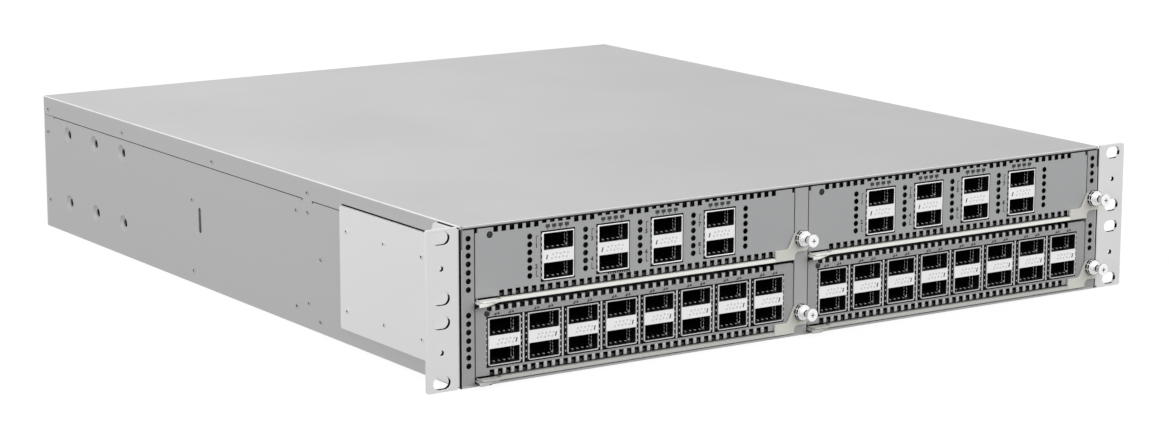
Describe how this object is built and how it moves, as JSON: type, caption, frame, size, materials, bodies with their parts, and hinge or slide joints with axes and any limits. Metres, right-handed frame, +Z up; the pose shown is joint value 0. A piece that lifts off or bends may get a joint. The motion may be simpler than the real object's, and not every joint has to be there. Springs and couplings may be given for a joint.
{
  "type": "modular chassis switch",
  "caption": "Two-unit rack switch with four pull-out line cards of stacked pluggable ports, ejector levers with captive screws, rack ears, and fan and power modules at the rear.",
  "frame": {"origin": "centre of the four outer rack slots, on the front plane of the rack ears and card panels", "axes": "+X to the right seen from the front, +Y rearwards into the rack, +Z up"},
  "size_m": [0.4826, 0.5552, 0.086],
  "materials": {
    "cover_paint": "fine textured light grey powder coat",
    "body_paint": "fine textured light grey powder coat",
    "ear_paint": "fine textured pale grey powder coat",
    "post_paint": "satin grey paint",
    "panel_paint": "satin grey paint",
    "lever_paint": "satin ivory paint",
    "plated_steel": "zinc plated sheet",
    "screw_steel": "bright nickel plated",
    "cage_steel": "bright nickel plated stamped sheet",
    "board_laminate": "green solder mask",
    "sink_aluminium": "plain extrusion",
    "connector_plastic": "black moulding",
    "fan_plastic": "black moulding",
    "latch_plastic": "dark grey moulding",
    "grip_paint": "satin black"
  },
  "bodies": {
    "chassis": {"chassis_tray": "body_paint", "top_cover": "cover_paint", "front_post_left": "post_paint", "front_post_right": "post_paint", "centre_divider": "post_paint", "card_guide_left": "plated_steel", "card_guide_right": "plated_steel", "rack_ear_left": "ear_paint", "rack_ear_right": "ear_paint", "backplane": "board_laminate", "backplane_sockets": "connector_plastic", "main_board": "board_laminate", "main_heat_sink": "sink_aluminium", "rear_panel": "plated_steel"},
    "management": {"management_module": "plated_steel"},
    "upper_left_card": {"upper_left_card_panel": "panel_paint", "upper_left_card_tray": "plated_steel", "upper_left_card_board": "board_laminate", "upper_left_card_cages": "cage_steel"},
    "upper_left_lever": {"upper_left_card_lever": "lever_paint"},
    "upper_left_screw": {"upper_left_card_thumbscrew": "screw_steel"},
    "upper_right_card": {"upper_right_card_panel": "panel_paint", "upper_right_card_tray": "plated_steel", "upper_right_card_board": "board_laminate", "upper_right_card_cages": "cage_steel"},
    "upper_right_lever": {"upper_right_card_lever": "lever_paint"},
    "upper_right_screw": {"upper_right_card_thumbscrew": "screw_steel"},
    "lower_left_card": {"lower_left_card_panel": "panel_paint", "lower_left_card_tray": "plated_steel", "lower_left_card_board": "board_laminate", "lower_left_card_cages": "cage_steel"},
    "lower_left_lever": {"lower_left_card_lever": "lever_paint"},
    "lower_left_screw": {"lower_left_card_thumbscrew": "screw_steel"},
    "lower_right_card": {"lower_right_card_panel": "panel_paint", "lower_right_card_tray": "plated_steel", "lower_right_card_board": "board_laminate", "lower_right_card_cages": "cage_steel"},
    "lower_right_lever": {"lower_right_card_lever": "lever_paint"},
    "lower_right_screw": {"lower_right_card_thumbscrew": "screw_steel"},
    "fan_1": {"fan_1_frame": "fan_plastic"},
    "fan_1_rotor": {"fan_1_rotor": "fan_plastic"},
    "fan_1_latch": {"fan_1_latch": "latch_plastic"},
    "fan_2": {"fan_2_frame": "fan_plastic"},
    "fan_2_rotor": {"fan_2_rotor": "fan_plastic"},
    "fan_2_latch": {"fan_2_latch": "latch_plastic"},
    "fan_3": {"fan_3_frame": "fan_plastic"},
    "fan_3_rotor": {"fan_3_rotor": "fan_plastic"},
    "fan_3_latch": {"fan_3_latch": "latch_plastic"},
    "supply_1": {"supply_1_housing": "plated_steel", "supply_1_handle": "grip_paint"},
    "supply_1_latch": {"supply_1_latch": "latch_plastic"},
    "supply_1_rotor": {"supply_1_rotor": "fan_plastic"},
    "supply_2": {"supply_2_housing": "plated_steel", "supply_2_handle": "grip_paint"},
    "supply_2_latch": {"supply_2_latch": "latch_plastic"},
    "supply_2_rotor": {"supply_2_rotor": "fan_plastic"}
  },
  "joints": [
    {"name": "management_slide", "type": "slide", "parent": "chassis", "child": "management", "axis": [0, 1, 0], "range_m": [0, 0.05]},
    {"name": "upper_left_card_slide", "type": "slide", "parent": "chassis", "child": "upper_left_card", "axis": [0, -1, 0], "range_m": [0, 0.26]},
    {"name": "upper_left_lever_hinge", "type": "hinge", "parent": "upper_left_card", "child": "upper_left_lever", "pos_m": [-0.20705, -0.0035, 0.00175], "axis": [0, 0, -1], "range_deg": [0, 45]},
    {"name": "upper_left_screw_turn", "type": "hinge", "parent": "upper_left_lever", "child": "upper_left_screw", "pos_m": [-0.00115, -0.005, 0.01285], "axis": [0, -1, 0], "continuous": true},
    {"name": "upper_right_card_slide", "type": "slide", "parent": "chassis", "child": "upper_right_card", "axis": [0, -1, 0], "range_m": [0, 0.26]},
    {"name": "upper_right_lever_hinge", "type": "hinge", "parent": "upper_right_card", "child": "upper_right_lever", "pos_m": [0.01005, -0.0035, 0.00175], "axis": [0, 0, -1], "range_deg": [0, 45]},
    {"name": "upper_right_screw_turn", "type": "hinge", "parent": "upper_right_lever", "child": "upper_right_screw", "pos_m": [0.21595, -0.005, 0.01285], "axis": [0, -1, 0], "continuous": true},
    {"name": "lower_left_card_slide", "type": "slide", "parent": "chassis", "child": "lower_left_card", "axis": [0, -1, 0], "range_m": [0, 0.26]},
    {"name": "lower_left_lever_hinge", "type": "hinge", "parent": "lower_left_card", "child": "lower_left_lever", "pos_m": [-0.20705, -0.0035, -0.04005], "axis": [0, 0, -1], "range_deg": [0, 45]},
    {"name": "lower_left_screw_turn", "type": "hinge", "parent": "lower_left_lever", "child": "lower_left_screw", "pos_m": [-0.00115, -0.005, -0.02895], "axis": [0, -1, 0], "continuous": true},
    {"name": "lower_right_card_slide", "type": "slide", "parent": "chassis", "child": "lower_right_card", "axis": [0, -1, 0], "range_m": [0, 0.26]},
    {"name": "lower_right_lever_hinge", "type": "hinge", "parent": "lower_right_card", "child": "lower_right_lever", "pos_m": [0.01005, -0.0035, -0.04005], "axis": [0, 0, -1], "range_deg": [0, 45]},
    {"name": "lower_right_screw_turn", "type": "hinge", "parent": "lower_right_lever", "child": "lower_right_screw", "pos_m": [0.21595, -0.005, -0.02895], "axis": [0, -1, 0], "continuous": true},
    {"name": "fan_1_slide", "type": "slide", "parent": "chassis", "child": "fan_1", "axis": [0, 1, 0], "range_m": [0, 0.06]},
    {"name": "fan_1_spin", "type": "hinge", "parent": "fan_1", "child": "fan_1_rotor", "pos_m": [-0.12, 0.485, 0], "axis": [0, 1, 0], "continuous": true},
    {"name": "fan_1_release", "type": "slide", "parent": "fan_1", "child": "fan_1_latch", "axis": [-1, 0, 0], "range_m": [0, 0.0025], "stiffness_N_per_m": 200},
    {"name": "fan_2_slide", "type": "slide", "parent": "chassis", "child": "fan_2", "axis": [0, 1, 0], "range_m": [0, 0.06]},
    {"name": "fan_2_spin", "type": "hinge", "parent": "fan_2", "child": "fan_2_rotor", "pos_m": [-0.03, 0.485, 0], "axis": [0, 1, 0], "continuous": true},
    {"name": "fan_2_release", "type": "slide", "parent": "fan_2", "child": "fan_2_latch", "axis": [-1, 0, 0], "range_m": [0, 0.0025], "stiffness_N_per_m": 200},
    {"name": "fan_3_slide", "type": "slide", "parent": "chassis", "child": "fan_3", "axis": [0, 1, 0], "range_m": [0, 0.06]},
    {"name": "fan_3_spin", "type": "hinge", "parent": "fan_3", "child": "fan_3_rotor", "pos_m": [0.06, 0.485, 0], "axis": [0, 1, 0], "continuous": true},
    {"name": "fan_3_release", "type": "slide", "parent": "fan_3", "child": "fan_3_latch", "axis": [-1, 0, 0], "range_m": [0, 0.0025], "stiffness_N_per_m": 200},
    {"name": "supply_1_slide", "type": "slide", "parent": "chassis", "child": "supply_1", "axis": [0, 1, 0], "range_m": [0, 0.19]},
    {"name": "supply_1_spin", "type": "hinge", "parent": "supply_1", "child": "supply_1_rotor", "pos_m": [0.152, 0.513, -0.0203], "axis": [0, 1, 0], "continuous": true},
    {"name": "supply_1_release", "type": "slide", "parent": "supply_1", "child": "supply_1_latch", "axis": [-1, 0, 0], "range_m": [0, 0.0025], "stiffness_N_per_m": 200},
    {"name": "supply_2_slide", "type": "slide", "parent": "chassis", "child": "supply_2", "axis": [0, 1, 0], "range_m": [0, 0.19]},
    {"name": "supply_2_spin", "type": "hinge", "parent": "supply_2", "child": "supply_2_rotor", "pos_m": [0.152, 0.513, 0.0203], "axis": [0, 1, 0], "continuous": true},
    {"name": "supply_2_release", "type": "slide", "parent": "supply_2", "child": "supply_2_latch", "axis": [-1, 0, 0], "range_m": [0, 0.0025], "stiffness_N_per_m": 200}
  ]
}
